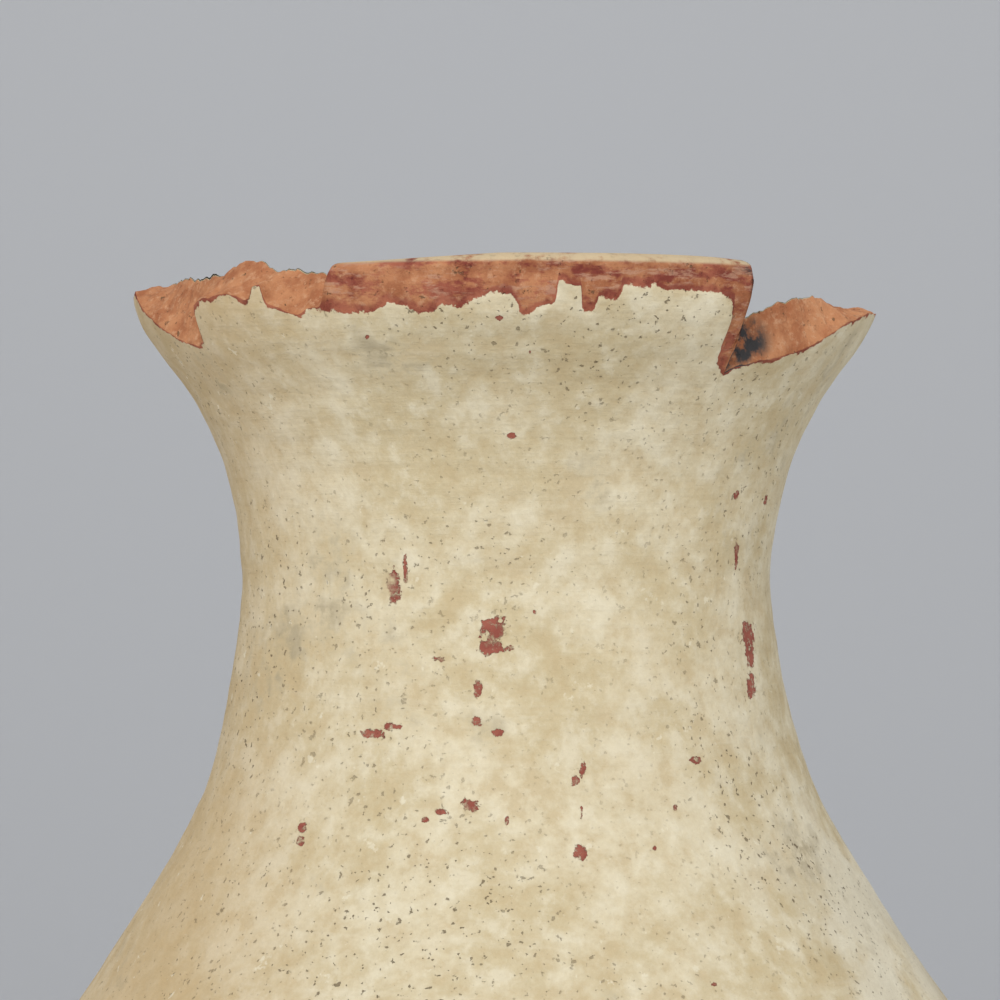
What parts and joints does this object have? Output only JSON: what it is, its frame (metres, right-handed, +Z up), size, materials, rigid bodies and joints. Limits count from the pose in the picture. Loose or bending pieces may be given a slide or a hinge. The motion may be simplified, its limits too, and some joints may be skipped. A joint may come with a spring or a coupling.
{
  "type": "terracotta jar",
  "caption": "Hand-built terracotta jar with a round belly, a waisted neck and a flared, chipped mouth under pale slip.",
  "frame": {"origin": "centre of the flat resting face", "axes": "+Z up through the mouth, -Y towards the side with the whole lip"},
  "size_m": [0.242, 0.242, 0.411],
  "materials": {
    "clay": "unglazed, matt",
    "pale_slip": "matt earth slip, weathered"
  },
  "bodies": {
    "root": {"base_disc": "clay", "lower_wall": "clay", "belly_wall": "clay", "shoulder_wall": "clay", "neck_wall": "clay", "mouth_wall": "clay", "belly_slip": "pale_slip", "shoulder_slip": "pale_slip", "neck_slip": "pale_slip", "mouth_slip": "pale_slip"}
  },
  "joints": []
}
